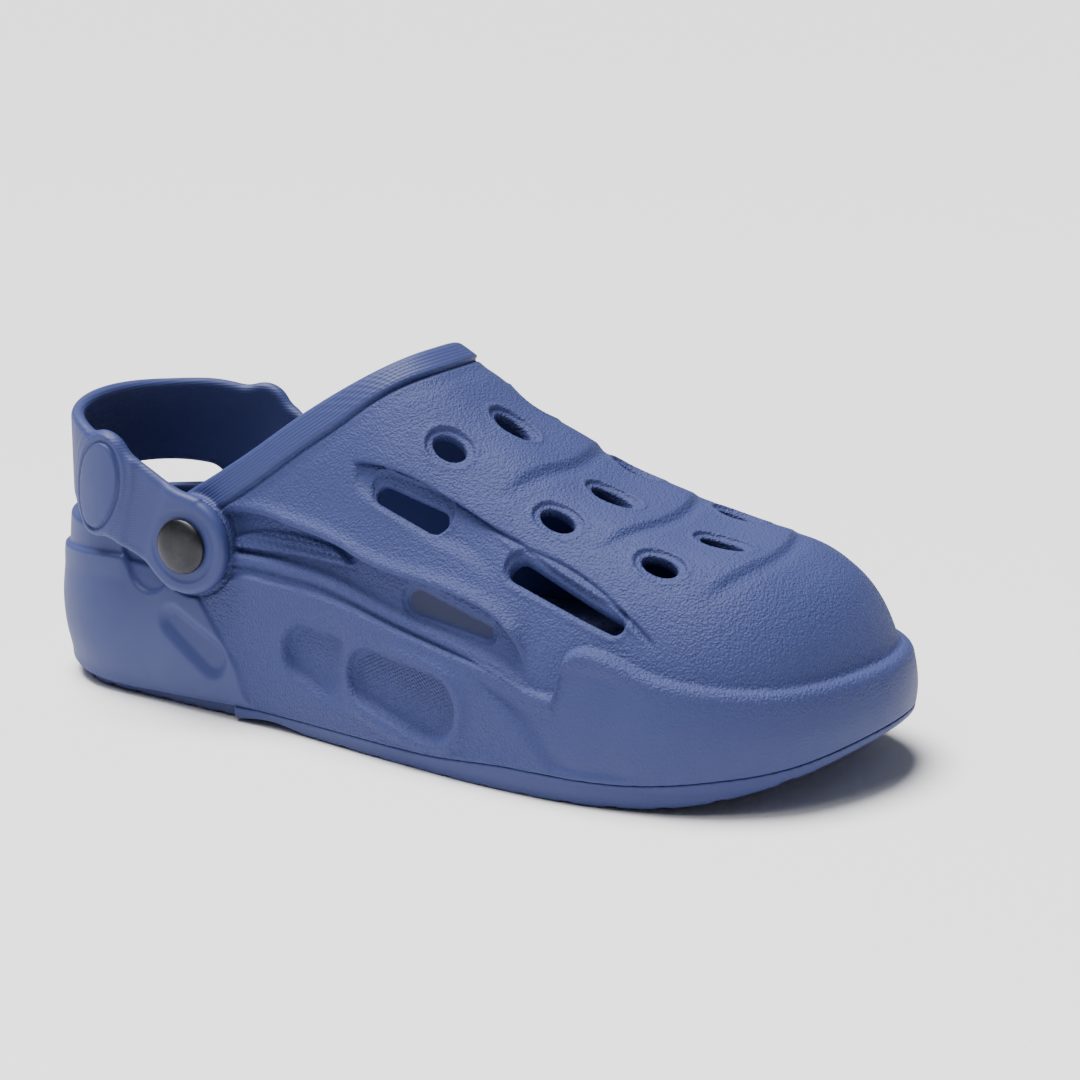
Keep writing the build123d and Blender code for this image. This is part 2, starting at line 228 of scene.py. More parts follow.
def side_stand_out(s, z):
    """Smooth reading of sole_flare between its heights."""
    heights = np.array(SOLE_HEIGHTS, float)
    values = np.stack([flare(s) for flare in sole_flare])
    gap = np.diff(heights)
    rise = np.diff(values, axis=0) / gap[:, None]
    slope = np.concatenate([rise[:1], (rise[1:] + rise[:-1]) / 2, rise[-1:]])
    z = np.clip(z, heights[0], heights[-1])
    i = np.clip(np.searchsorted(heights, z, side="right") - 1, 0, len(heights) - 2)
    each = np.arange(len(z))
    u = (z - heights[i]) / gap[i]
    ends = (1 + 2 * u) * (1 - u) ** 2 * values[i, each] + u * u * (3 - 2 * u) * values[i + 1, each]
    turn = u * (1 - u) ** 2 * slope[i, each] + u * u * (u - 1) * slope[i + 1, each]
    return ends + gap[i] * turn


def upper_field(s, y, z, inset=0.0):
    """The upper's smooth outer form, or its inner face where inset is the wall's thickness."""
    roll = roll_width(s) - inset
    rise = crown(s) - inset - ROLL_LEVEL
    a = np.maximum(1 + (PLAN(s, y) + lean(s) + inset) / roll, 0)
    b = np.maximum((z - ROLL_LEVEL) / rise, 0)
    radius = np.maximum((a ** ROUNDNESS + b ** ROUNDNESS) ** (1 / ROUNDNESS), 1e-6)
    grade = np.hypot((a / radius) ** (ROUNDNESS - 1) / roll, (b / radius) ** (ROUNDNESS - 1) / rise)
    return (radius - 1) / np.maximum(grade, 1 / 60)


def midsole_rim(s):
    """Height of the midsole's top edge: a low wave behind, then the higher toe bumper."""
    step = ramp(s, 211.5, 215.5)
    return rear_rim(s) * (1 - step) + toe_rim(s) * step


def midsole_field(s, y, z):
    side = PLAN(s, y) - side_stand_out(s, z)
    capped = smooth_max(side, z - midsole_rim(s), 1.4 + 1.8 * ramp(s, 200, 216))
    return smooth_max(capped, parting(s) - z, 0.3)


# ================================================================ moulded detail of the clog body
# Vents: centre, pitch and roll of the surface in degrees, length and width of the oval
VENTS = [
    ((162, -32, 94), 31, -35, 11.5, 7.6),
    ((171, -9, 98), 31, -8, 13.5, 8.6),
    ((163, 17, 99), 31, 22, 13, 8.2),
    ((200, -34, 77), 27, -32, 11.5, 7.2),
    ((206, -10, 81), 27, -8, 14, 8.2),
    ((199, 19, 82), 27, 20, 13, 7.8),
    ((233, -33, 67), 18, -28, 11.5, 7.2),
    ((241, -8, 69), 18, -6, 14, 7.8),
    ((233, 21, 71), 18, 16, 13, 7.6),
]
VENT_REACH = 22.0                               # a vent changes nothing farther off than this
VENT_DEPTH = 16.0                               # how far its cut runs each way from its centre
# Side slots: rear end, front end and their radii; then how far the recessed rim reaches round each
SLOTS = [
    ((144.6, 81.6), (163.5, 76.3), 3.3, 3.9, 1.5),
    ((194.5, 65.2), (227.5, 53.6), 3.3, 2.2, 1.2),
]
SLOT_LEAN = 0.9                                 # how far a slot drops as it goes inwards, mm a mm
SLOT_INNER = 18.0                               # a slot's cut stops this far from the middle plane
POCKET = ((160.5, 50.8), (186.5, 46.0), 3.9, 2.2)  # blind pocket below them
wave_crest = curve((74, 61), (80, 66), (90, 69.3), (101, 69.5), (112, 68), (122, 66.7), (131, 65),
                   (142, 61.8), (152, 60), (162, 59), (171, 58), (179, 56.5), (186, 54.5), (194, 50.5),
                   (199, 46), (204, 38))
wave_ledge = curve((78, 54), (99, 54), (112, 53.4), (126, 52.3), (140, 49.5), (153, 46.5),
                   (166, 44), (180, 41.3), (194, 37.8), (205, 33.5))
shoulder_line = curve((118, 84), (128, 87.5), (134, 88.5), (142, 88.6), (154, 86.3), (169, 81.0), (184, 75),
                      (194, 71.3), (211, 66), (227, 58.5), (239, 50), (247, 43))
panel_floor = curve((132, 86.5), (136, 81), (140, 78.8), (151, 74.5), (163, 70), (176, 67), (190, 61),
                    (210, 54))
heel_crease = curve((4, 98), (9, 94), (18, 91), (25, 86), (33, 80), (39, 75), (48, 66))
VAMP_STEPS = (188.5, 221.5, 255)                # stations of the soft cross steps at the middle
HATCH = ((145.5, 25.5), (167, 21), 7.5, 9.3)


def near(values, low, high):
    """Indices of the points whose values lie between low and high."""
    return np.nonzero((values > low) & (values < high))[0]


def vent_frames():
    for centre, pitch, roll, long, wide in VENTS:
        normal = np.array([math.tan(math.radians(pitch)), math.tan(math.radians(roll)), 1.0])
        normal /= np.linalg.norm(normal)
        forward = np.array([1.0, 0.0, -math.tan(math.radians(pitch))])
        forward -= normal * (forward @ normal)
        forward /= np.linalg.norm(forward)
        yield np.array(centre, float), normal, forward, np.cross(normal, forward), long / 2, wide / 2


VENT_FRAMES = list(vent_frames())


def vent_distance(points, vent):
    """Distance in the vent's own plane to its oval edge, and depth along its axis."""
    centre, normal, forward, sideways, long, wide = vent
    offset = points - centre
    u, v = offset @ forward, offset @ sideways
    q = np.sqrt((u / long) ** 2 + (v / wide) ** 2) + 1e-6
    grade = np.sqrt((u / long ** 2) ** 2 + (v / wide ** 2) ** 2) / q + 1e-6
    return (q - 1) / grade, offset @ normal


def collar_relief(s, y, z):
    """The collar's raised band over a narrow groove."""
    above = height_above(collar_groove, s, z)
    there = ramp(s, 62, 70) * ramp(z, 55, 60)
    groove = 0.5 + 0.7 * ramp(np.abs(y), 10, 28)
    return there * (0.7 * ramp(above, -0.1, 1.3) - groove * bump(above, 0.75) - 0.3 * bump(above + 3, 2.5))


def wave_relief(s, z):
    """The flowing rib on the side, with a deep channel under its crest that runs back to the strap."""
    above = height_above(wave_crest, s, z)
    ledge = height_above(wave_ledge, s, z)
    there = ramp(s, 76, 86) * (1 - ramp(s, 196, 203))
    roll = curve((80, 1.6), (92, 2.0), (112, 2.1), (126, 2.1), (142, 2.0), (192, 1.6))(s)
    over = 1.1 * bump(above, 6.0) + 1.9 * bump(above, 2.0)
    crest = np.where(above > 0, over, 3.0 - 1.9 * ramp(-above / roll, 0, 1.1))
    depth = curve((80, 2.4), (92, 3.6), (125, 3.4), (140, 2.2), (155, 1.6), (192, 1.6))(s)
    under = ramp(-above - roll, -0.5, 0.8)
    crest = crest * (1 - under) * (0.4 + 0.6 * ramp(s, 88, 112))
    channel = -depth * under * ramp(ledge, -0.3, 1.4)
    ledges = 0.7 * ramp(-ledge, 0.2, 0.8) * (1 - ramp(-ledge, 2.2, 3.0)) - 0.5 * bump(ledge + 3.6, 0.6)
    pocket = slot_distance(s, z, *POCKET)
    ledges += -0.9 * ramp(1.6 - pocket, -0.35, 0.35) - 2.8 * ramp(-pocket, -0.2, 0.4)
    return there * (crest + channel) + ledges * ramp(s, 76, 86) * (1 - ramp(s, 198, 207))


window_top = curve((84, 56.2), (88, 59.2), (95, 62.0), (107, 63.2), (120, 62.8), (131, 60.6), (135, 57.4),
                   (137, 53))


def window_distance(s, z):
    """Distance to the leaf-shaped panel in the wave's channel."""
    return np.maximum(height_above(window_top, s, z), 55.7 + 0.03 * (s - 90) - z)


def window_bubbles(s, z):
    """Rows of small round bumps, 1 at each middle and 0 between them."""
    pitch = 2.5
    row = np.round((z - 56.4) / (0.84 * pitch))
    shift = 0.5 * pitch * (row % 2)
    column = np.round((s - shift) / pitch) * pitch + shift
    return 1 - ramp(np.hypot(s - column, z - 56.4 - row * 0.84 * pitch), 0.3, 1.35)


def shoulder_relief(s, z):
    """The fold between the vamp and the side panel, over the hollows round the two upper slots."""
    above = height_above(shoulder_line, s, z)
    below = height_above(panel_floor, s, z)
    rise = 1.0 - 0.6 * ramp(s, 178, 194)
    fold = rise * ramp(above, -0.7, 0.2) * (1 - ramp(above, 1, 14))
    fold = fold * ramp(s, 133, 146) * (1 - ramp(s, 234, 242))
    hollow = -2.0 * ramp(-above, 0.0, 1.1) * ramp(below, -2.0, 2.0)
    hollow = hollow * ramp(s, 132, 135) * (1 - ramp(s, 172, 192))
    groove = -0.8 * bump(above + 0.6, 0.7) * ramp(s, 131, 134) * (1 - ramp(s, 238, 241))
    lip = 0.6 * bump(above + 1.9, 0.65) * ramp(s, 178, 190) * (1 - ramp(s, 232, 238))
    return fold + hollow + groove + lip


def vamp_relief(s, y, z):
    """Three soft steps across the vamp, bowed forward in the middle."""
    total = np.zeros_like(s)
    for station in VAMP_STEPS:
        past = s - station + 0.0072 * (y + 5) ** 2
        total += ramp(past, -22, -0.5) * (1 - ramp(past, -0.2, 2.2))
        total -= 0.25 * bump(past - 3.2, 1.8)
    return 1.3 * total * (1 - ramp(y, 14, 34)) * (1 - ramp(-y, 27, 40)) * ramp(z, 52, 60)


def sole_side_relief(s, z):
    """Scoops, the hatched panel, and soft ridges in the midsole's sides."""
    low = (1 - ramp(z - midsole_rim(s), -7, -2)) * ramp(z - parting(s), 0.5, 3.5)
    panel = slot_distance(s, z, *HATCH)
    scoop = slot_distance(s, z, (119, 28), (131, 25), 9.5, 12.5)
    relief = -3.8 * ramp(-scoop, -1.0, 3.2) * ramp(140 - s, 2, 13) * ramp(z, 11, 23)
    relief = relief * ramp(panel, -1.0, 3.0) - 3.3 * ramp(-panel, -2.8, 0.3)
    relief += 0.9 * bump(panel - 4.4, 2.0) * ramp(s - 0.7 * (z - 20), 138, 146)
    ridge = s - curve((5, 214), (9, 211), (15, 206), (23, 198), (30, 188), (38, 178))(z)
    relief += 0.9 * bump(np.minimum(ridge, 0), 15) * bump(np.maximum(ridge, 0), 3.0)
    relief -= 0.95 * ramp(s, 165, 190) * (1 - ramp(s, 228, 245))
    relief -= 0.5 * bump(ridge - 6, 4)
    crease = s - heel_crease(z)
    creased = ramp(s, 40, 66)
    relief += 0.7 * (1 - ramp(crease, -0.9, 0.9)) * creased - 0.35 * bump(crease - 0.6, 0.8) * creased
    oval = slot_distance(s, z, (65, 29.5), (81, 20), 4.8, 6.2)
    relief += -1.9 * ramp(-oval, -1.6, 3.0)
    tongue = slot_distance(s, z, (52, 52), (54, 46), 10.5, 9.0)
    total = relief * low - 1.5 * ramp(-tongue, -0.5, 0.7)
    heel_step = height_above(rear_rim, s, z)
    return total + 0.5 * ramp(-heel_step, -0.4, 0.5) * ramp(-heel_step, 9, 2) * (1 - ramp(s, 40, 46))


def body_relief(s, y, z):
    total = np.zeros_like(s)
    upper = near(z, 40, 130)
    su, yu, zu = s[upper], y[upper], z[upper]
    total[upper] += collar_relief(su, yu, zu) + shoulder_relief(su, zu) * ramp(np.abs(yu), 20, 30)
    total[upper] += vamp_relief(su, yu, zu)
    waves = near(z, 28, 80)
    sw, zw = s[waves], z[waves]
    on_side = ramp(zw - midsole_rim(sw), -1.5, 1.5)
    total[waves] += wave_relief(sw, zw) * on_side
    window = window_distance(sw, zw)
    leaf = ramp(-window, -0.1, 0.8) * (2.3 + 0.26 * (59 - zw))
    leaf = leaf + 0.55 * window_bubbles(sw, zw) * ramp(-window, 0.2, 1)
    total[waves] += ramp(sw, 86, 90) * (leaf - 0.6 * bump(window - 0.7, 0.6))
    sole = near(z, -5, 50)
    total[sole] += sole_side_relief(s[sole], z[sole])
    for rear, front, rear_radius, front_radius, rim in SLOTS:
        around = near(s, rear[0] - 16, front[0] + 14)
        edge = slot_distance(s[around], z[around], rear, front, rear_radius, front_radius)
        total[around] += -1.2 * ramp(rim - edge, -0.4, 0.4) + 0.3 * bump(edge - rim - 0.9, 0.8)
    return total


def body_field(s, y, z):
    """The clog body: upper and midsole with all their detail, less the foot cavity and the openings."""
    outer = smooth_min(upper_field(s, y, z), midsole_field(s, y, z), 1.2)
    outer = smooth_max(outer, parting(s) - z, 0.3)
    relief = body_relief(s, y, z)
    points = np.stack([s, y, z], 1)
    holes = np.full(len(s), -50.0)
    for vent in VENT_FRAMES:
        around = np.nonzero(((points - vent[0]) ** 2).sum(1) < VENT_REACH ** 2)[0]
        if len(around):
            edge, depth = vent_distance(points[around], vent)
            relief[around] += -0.9 * ramp(2.3 - edge, -0.3, 0.4) + 0.3 * bump(edge - 3.0, 0.8)
            holes[around] = np.maximum(holes[around], -np.maximum(edge, np.abs(depth) - VENT_DEPTH))
    for rear, front, rear_radius, front_radius, _ in SLOTS:
        around = near(s, rear[0] - 10, front[0] + 10)
        leaning = z[around] + SLOT_LEAN * np.clip(-outer[around], 0, 8)
        edge = slot_distance(s[around], leaning, rear, front, rear_radius, front_radius)
        holes[around] = np.maximum(holes[around], -np.maximum(edge, SLOT_INNER - np.abs(y[around])))
    outer = outer - relief * ramp(outer, -4.5, -2.5)
    pad = np.hypot(s - PIVOT[0], z - PIVOT[2])
    outer = smooth_min(outer, smooth_max(pad - PAD_RADIUS, np.abs(y) - PAD_FACE, 1.0), 1.0)
    outer = smooth_max(outer, -np.maximum(pad - LUG_ROOM, PAD_FACE - np.abs(y)), 0.8)
    rim = height_above(collar_edge, s, z)
    outer = smooth_max(outer, rim, 1.6)
    cavity = smooth_max(upper_field(s, y, z, WALL), FLOOR - z, 3.0)
    seat = np.maximum(pad - SEAT_RADIUS, np.abs(y) - SEAT_FACE)
    hollow = np.minimum(cavity, np.maximum(seat, SLOT_INNER + 2 - np.abs(y)))
    body = smooth_max(outer, -hollow, 1.6)
    body = smooth_max(body, holes, 0.9)
    return smooth_max(body, SHANK_HOLE - pad, 0.3)


# ================================================================ outsole, insole and strap
HEEL_STEP = 88.0                                # where the outsole steps out to the full side
GROOVE_SWEEP = 9.0


def groove_distance(s, y, first, last, pitch):
    """Distance fore and aft to the nearest of the outsole's bowed cross grooves, and to its sipe."""
    ahead = s - GROOVE_SWEEP * (1 - (y / 80.0) ** 2)
    nearest = np.clip(np.round((ahead - first) / pitch), 0, round((last - first) / pitch)) * pitch + first
    sipe = np.clip(np.round((ahead - first - pitch / 2) / pitch), 0, round((last - first) / pitch)) * pitch
    return np.abs(ahead - nearest), np.abs(ahead - first - pitch / 2 - sipe)


def outsole_field(s, y, z):
    """The outsole below the parting line, with bowed cross grooves and finer sipes between them."""
    foot = 1.5 * (1 - ramp(z, 0, 7)) * ramp(s, 90, 110)
    draw_in = 3.0 * (1 - ramp(s, HEEL_STEP - 1, HEEL_STEP + 1)) + foot
    plan = PLAN(s, y)
    side = plan - side_stand_out(s, np.maximum(z, 7.0)) + draw_in
    sole = smooth_max(side, z - parting(s), 0.5)
    reach = tread(s) - z
    sole = smooth_max(sole, reach, 1.6)
    heel = groove_distance(s, y, 14.0, 74.0, 12.0)
    front = groove_distance(s, y, 128.0, 268.0, 14.0)
    groove = np.where(s < 100, heel[0], front[0])
    sipe = np.where(s < 100, heel[1], front[1])
    depth = 2.5 - 2.0 * ramp(plan, -9, -5)
    groove_cut = np.maximum(groove - 1.5, -reach - depth)
    sipe_cut = np.maximum.reduce([sipe - 0.5, -reach - 1.2, plan + 10])
    return smooth_max(sole, -np.minimum(groove_cut, sipe_cut), 0.6)


INSOLE_TOP = 27.6
CUP_RISE = 2.6                                  # how much higher the insole's edge is
ARCH = 112.0                                    # station of the arch
ARCH_RISE = 2.2
NUB_PITCH = 6.5
NUB_RISE = 0.75


def insole_field(s, y, z):
    """The loose footbed: a cupped edge, an arch rise and rows of small massage nubs."""
    edge = upper_field(s, y, z, WALL + 0.7)
    depth = -PLAN(s, y) - lean(s) - WALL
    top = INSOLE_TOP + CUP_RISE * (1 - ramp(depth, 1, 9)) * (1 - ramp(s, 200, 240))
    top = top + ARCH_RISE * bump(s - ARCH, 34) * ramp(y, -4, 28)
    row = np.round(s / NUB_PITCH)
    shift = 0.5 * NUB_PITCH * (row % 2)
    nub_y = np.round((y - shift) / NUB_PITCH) * NUB_PITCH + shift
    nub = np.hypot(s - row * NUB_PITCH, y - nub_y)
    zone = ramp(depth, 9, 11) * (1 - bump(s - ARCH, 26))
    top = top + NUB_RISE * (1 - ramp(nub, 1.0, 2.3)) * zone
    return smooth_max(smooth_max(edge, (z - top) * 0.95, 1.6), FLOOR + 0.05 - z, 0.6)


STRAP_INNER = PAD_FACE + 0.3
STRAP_THICK = 4.5
STRAP_REACH = 65.0
STRAP_STRAIGHT = 24.0
LUG_RADIUS = 15.9
LUG_HOLE = 4.1                                  # radius
BOSS_CENTRE = (36.8, 3.6)
BOSS_HALF = (8.6, 14.6)                         # half the oval's length and height
strap_top = curve((-20, 15.9), (0, 15.9), (6, 15.6), (12, 15.8), (20, 17.0), (30, 18.4), (46, 18.0),
                  (55, 17.2), (66, 14.7), (80, 13))
strap_bottom = curve((-20, -15.9), (0, -15.9), (7, -13.2), (14, -12.0), (24, -11.6), (40, -11.2),
                     (52, -11.2), (66, -12.6), (80, -13.5))


def strap_view(s, z):
    """Side-view coordinates in the strap's own plane: towards the heel, and up."""
    back, up = PIVOT[0] - s, z - PIVOT[2]
    cosine, sine = math.cos(STRAP_ANGLE), math.sin(STRAP_ANGLE)
    return back * cosine + up * sine, up * cosine - back * sine


def boss_distance(s, z):
    along, across = strap_view(s, z)
    u, v = along - BOSS_CENTRE[0], across - BOSS_CENTRE[1]
    long, tall = BOSS_HALF
    q = np.sqrt((u / long) ** 2 + (v / tall) ** 2) + 1e-6
    return (q - 1) / (np.sqrt((u / long ** 2) ** 2 + (v / tall ** 2) ** 2) / q + 1e-6)


def strap_field(s, y, z):
    """The heel strap: a U-shaped band with round lugs and a raised oval boss on each arm."""
    along, across = strap_view(s, z)
    back = PIVOT[0] - s
    half = STRAP_INNER + STRAP_THICK / 2
    bow = STRAP_REACH - STRAP_STRAIGHT - STRAP_THICK / 2
    u, v = np.maximum(back - STRAP_STRAIGHT, 0), np.abs(y)
    q = np.sqrt((u / bow) ** 2 + (v / half) ** 2) + 1e-6
    ring = (q - 1) / (np.sqrt((u / bow ** 2) ** 2 + (v / half ** 2) ** 2) / q + 1e-6)
    ring = np.where(back < STRAP_STRAIGHT, v - half, ring)
    boss = boss_distance(s, z)
    relief = 0.55 * ramp(-boss, -0.3, 0.5) - 0.7 * bump(boss - 0.5, 0.55) + 0.55 * ramp(2.9 - boss, -0.3, 0.4)
    relief += 0.3 * ramp(5.6 - boss, -0.4, 0.4)
    waist = ramp(along, 11.0, 14.5) * (1 - ramp(along - 0.1 * across, 21.5, 24.0))
    relief -= 0.7 * waist * ramp(across, -14, -8)
    rim = 0.3 * ramp(np.hypot(along, across), 11.2, 12.2) * (1 - ramp(along, 9, 13))
    relief += rim
    band = np.maximum(ring - STRAP_THICK / 2 - relief, -ring - STRAP_THICK / 2)
    sides = np.maximum(across - strap_top(along), strap_bottom(along) - across)
    sides = np.maximum(sides, -along)
    outline = smooth_min(sides, np.hypot(along, across) - LUG_RADIUS, 2.0)
    outline = smooth_min(outline, boss - 3.6, 2.0)
    strap = smooth_max(band, outline, 2.6)
    return smooth_max(strap, LUG_HOLE - np.hypot(along, across), 0.5)


# ================================================================ meshing
def sample_near_surface(field, low, high, step, block=8):
    """The field on a regular grid, worked out only in the blocks that the surface may cross."""
    blocks = np.ceil((high - low) / (step * block)).astype(int)
    edge = step * block
    centres = np.meshgrid(*(low[k] + (np.arange(blocks[k]) + 0.5) * edge for k in range(3)), indexing="ij")
    coarse = field(*(c.ravel() for c in centres)).reshape(blocks)
    grid = np.sign(coarse)
    for axis in range(3):
        grid = np.repeat(grid, block, axis)
    grid = np.pad(grid, ((0, 1),) * 3, mode="edge").astype(np.float32) * 3 * step
    corner = np.meshgrid(*(np.arange(block + 1),) * 3, indexing="ij")
    corner = np.stack([c.ravel() for c in corner], 1)
    active = np.argwhere(np.abs(coarse) < edge * 0.87 + 3.5)
    for start in range(0, len(active), 400):
        cells = (active[start:start + 400, None] * block + corner).reshape(-1, 3)
        grid[tuple(cells.T)] = field(*(low + cells * step).T)
    return grid


def gradient(field, points, reach=0.12):
    slopes = []
    for axis in range(3):
        nudge = np.zeros(3)
        nudge[axis] = reach
        slopes.append((field(*(points + nudge).T) - field(*(points - nudge).T)) / (2 * reach))
    return np.stack(slopes, 1)


def mesh_field(name, field, low, high, step, masks=None):
    """A mesh object of a field's surface; masks are named fields kept as point attributes."""
    low, high = np.array(low, float), np.array(high, float)
    volume = openvdb.FloatGrid(background=3 * step)
    volume.copyFromArray(sample_near_surface(field, low, high, step))
    points, quads = volume.convertToQuads(0.0)
    points = low + np.array(points, float) * step
    for _ in range(2):
        slope = gradient(field, points)
        steepness = np.maximum(np.linalg.norm(slope, axis=1), 0.4)
        shift = np.clip(field(*points.T) / steepness, -0.6 * step, 0.6 * step)
        points -= (shift / steepness)[:, None] * slope
    points[:, 2] = np.maximum(points[:, 2], GROUND_GAP)
    quads = np.array(quads)
    corners = points[quads]
    facing = np.cross(corners[:, 2] - corners[:, 0], corners[:, 3] - corners[:, 1])
    if (facing * gradient(field, corners.mean(1))).sum() < 0:
        quads = quads[:, ::-1]
    mesh = bpy.data.meshes.new(name)
    mesh.from_pydata([], [], [])
    mesh.vertices.add(len(points))
    mesh.vertices.foreach_set("co", ((points - ORIGIN) / MM).ravel())
    mesh.loops.add(quads.size)
    mesh.loops.foreach_set("vertex_index", quads.ravel().astype(np.int32))
    mesh.polygons.add(len(quads))
    mesh.polygons.foreach_set("loop_start", np.arange(0, quads.size, 4, dtype=np.int32))
    mesh.update(calc_edges=True)
    mesh.polygons.foreach_set("use_smooth", np.ones(len(quads), bool))
    for mask_name, mask in (masks or {}).items():
        layer = mesh.attributes.new(mask_name, "FLOAT", "POINT")
        layer.data.foreach_set("value", mask(*points.T).astype(np.float32))
    mesh.validate()
    piece = bpy.data.objects.new(name, mesh)
    bpy.context.scene.collection.objects.link(piece)
    return piece


def lathe(name, profile, side, segments=96):
    """A turned piece about the strap's pivot axis, closed at the axis where the profile meets it."""
    vertices, faces = [], []
    count = len(profile)
    for k in range(segments):
        angle = 2 * math.pi * k / segments
        for radius, out in profile:
            across, up = radius * math.cos(angle), radius * math.sin(angle)
            vertices.append((np.array([PIVOT[0] + across, side * out, PIVOT[2] + up]) - ORIGIN) / MM)
    for k in range(segments):
        here, there = k * count, (k + 1) % segments * count
        for j in range(count):
            quad = (here + j, here + (j + 1) % count, there + (j + 1) % count, there + j)
            faces.append(quad if side < 0 else quad[::-1])
    turned = bmesh.new()
    corners = [turned.verts.new(vertex) for vertex in vertices]
    for face in faces:
        turned.faces.new([corners[index] for index in face]).smooth = True
    bmesh.ops.remove_doubles(turned, verts=turned.verts, dist=1e-7)
    mesh = bpy.data.meshes.new(name)
    turned.to_mesh(mesh)
    turned.free()
    piece = bpy.data.objects.new(name, mesh)
    bpy.context.scene.collection.objects.link(piece)
    return piece


# ================================================================ masks for the materials
def grain_mask(s, y, z):
    """1 where the rubber has its leather-like grain, 0 where it is smooth."""
    forward = ramp(s - heel_crease(z), -1, 2) * ramp(slot_distance(s, z, *POCKET), 0.0, 1.0)
    bumper = ramp(midsole_rim(s) - z, 2, 9) * ramp(s, 196, 224)
    inside = ramp(upper_field(s, y, z), -4.5, -3.0)
    collar = ramp(height_above(collar_groove, s, z), -0.5, 0.8) * ramp(s, 58, 64)
    return forward * (1 - 0.75 * bumper) * inside * (1 - 0.85 * collar)


def collar_across(s, y, z):
    """Distance up from the collar's groove, for the fine ribs along the band."""
    above = height_above(collar_groove, s, z)
    return above * ramp(s, 60, 66)


def window_mask(s, y, z):
    return ramp(-window_distance(s, z), 0.2, 1.0) * ramp(s, 90, 94) * ramp(z, 40, 48)


def hatch_mask(s, y, z):
    return ramp(-slot_distance(s, z, *HATCH), 0.3, 1.2)


def pocket_painted_shade_mask(s, y, z):
    """1 on the smooth floor of the blind pockets, where the colour is darkened with painted shade."""
    return ramp(-slot_distance(s, z, *POCKET), 0.3, 0.9) * ramp(-upper_field(s, y, z), 2.0, 2.6)


def arm_mask(s, y, z):
    """1 on the strap's plain stretches, where it has a fine woven-looking texture."""
    along, across = strap_view(s, z)
    return ramp(boss_distance(s, z), 0.5, 2) * ramp(along, 15, 19)


# ================================================================ materials
class Shader:
    """A material's node tree, with short calls for the nodes that the rubber and metal need."""

    def __init__(self, name):
        self.material = bpy.data.materials.new(name)
        self.material.use_nodes = True
        self.tree = self.material.node_tree
        self.surface = self.tree.nodes["Principled BSDF"]
        self.place = self.tree.nodes.new("ShaderNodeTexCoord").outputs["Object"]

    def put(self, socket, value):
        if isinstance(value, bpy.types.NodeSocket):
            self.tree.links.new(value, socket)
        else:
            socket.default_value = value

    def math(self, operation, *values):
        node = self.tree.nodes.new("ShaderNodeMath")
        node.operation = operation
        for socket, value in zip(node.inputs, values):
            self.put(socket, value)
        return node.outputs[0]

    def total(self, *values):
        result = values[0]
        for value in values[1:]:
            result = self.math("ADD", result, value)
        return result

    def times(self, *values):
        result = values[0]
        for value in values[1:]:
            result = self.math("MULTIPLY", result, value)
        return result

    def ramp(self, value, low, high):
        """0 below low, 1 above high, smooth between."""
        node = self.tree.nodes.new("ShaderNodeMapRange")
        node.interpolation_type = "SMOOTHSTEP"
        for name, given in (("Value", value), ("From Min", low), ("From Max", high)):
            self.put(node.inputs[name], given)
        return node.outputs[0]

    def mask(self, name):
        node = self.tree.nodes.new("ShaderNodeAttribute")
        node.attribute_name = name
        return node.outputs["Fac"]

    def noise(self, size_mm, detail=2.0, roughness=0.5, distortion=0.0):
        """Noise centred on 0, with features about size_mm across."""
        node = self.tree.nodes.new("ShaderNodeTexNoise")
        self.put(node.inputs["Vector"], self.place)
        self.put(node.inputs["Scale"], MM / size_mm)
        self.put(node.inputs["Detail"], detail)
        self.put(node.inputs["Roughness"], roughness)
        self.put(node.inputs["Distortion"], distortion)
        return self.math("SUBTRACT", node.outputs[0], 0.5)

    def cells(self, size_mm, feature="F1", vector=None):
        node = self.tree.nodes.new("ShaderNodeTexVoronoi")
        node.feature = feature
        self.put(node.inputs["Vector"], vector or self.place)
        self.put(node.inputs["Scale"], MM / size_mm)
        return node.outputs["Distance"]

    def axes(self):
        node = self.tree.nodes.new("ShaderNodeSeparateXYZ")
        self.put(node.inputs[0], self.place)
        return [self.times(axis, MM) for axis in node.outputs]

    def wave(self, value, period):
        return self.math("SINE", self.times(value, 2 * math.pi / period))

    def mix(self, share, low, high):
        node = self.tree.nodes.new("ShaderNodeMix")
        node.data_type = "RGBA"
        self.put(node.inputs["Factor"], share)
        for socket, value in zip([s for s in node.inputs if s.type == "RGBA"], (low, high)):
            self.put(socket, value)
        return [s for s in node.outputs if s.type == "RGBA"][0]

    def bump(self, height_mm):
        node = self.tree.nodes.new("ShaderNodeBump")
        self.put(node.inputs["Distance"], 1.0)
        self.put(node.inputs["Height"], self.times(height_mm, 1 / MM))
        self.put(self.surface.inputs["Normal"], node.outputs[0])


def shade(colour, factor):
    return tuple(min(1.0, c * factor) for c in colour[:3]) + (1.0,)


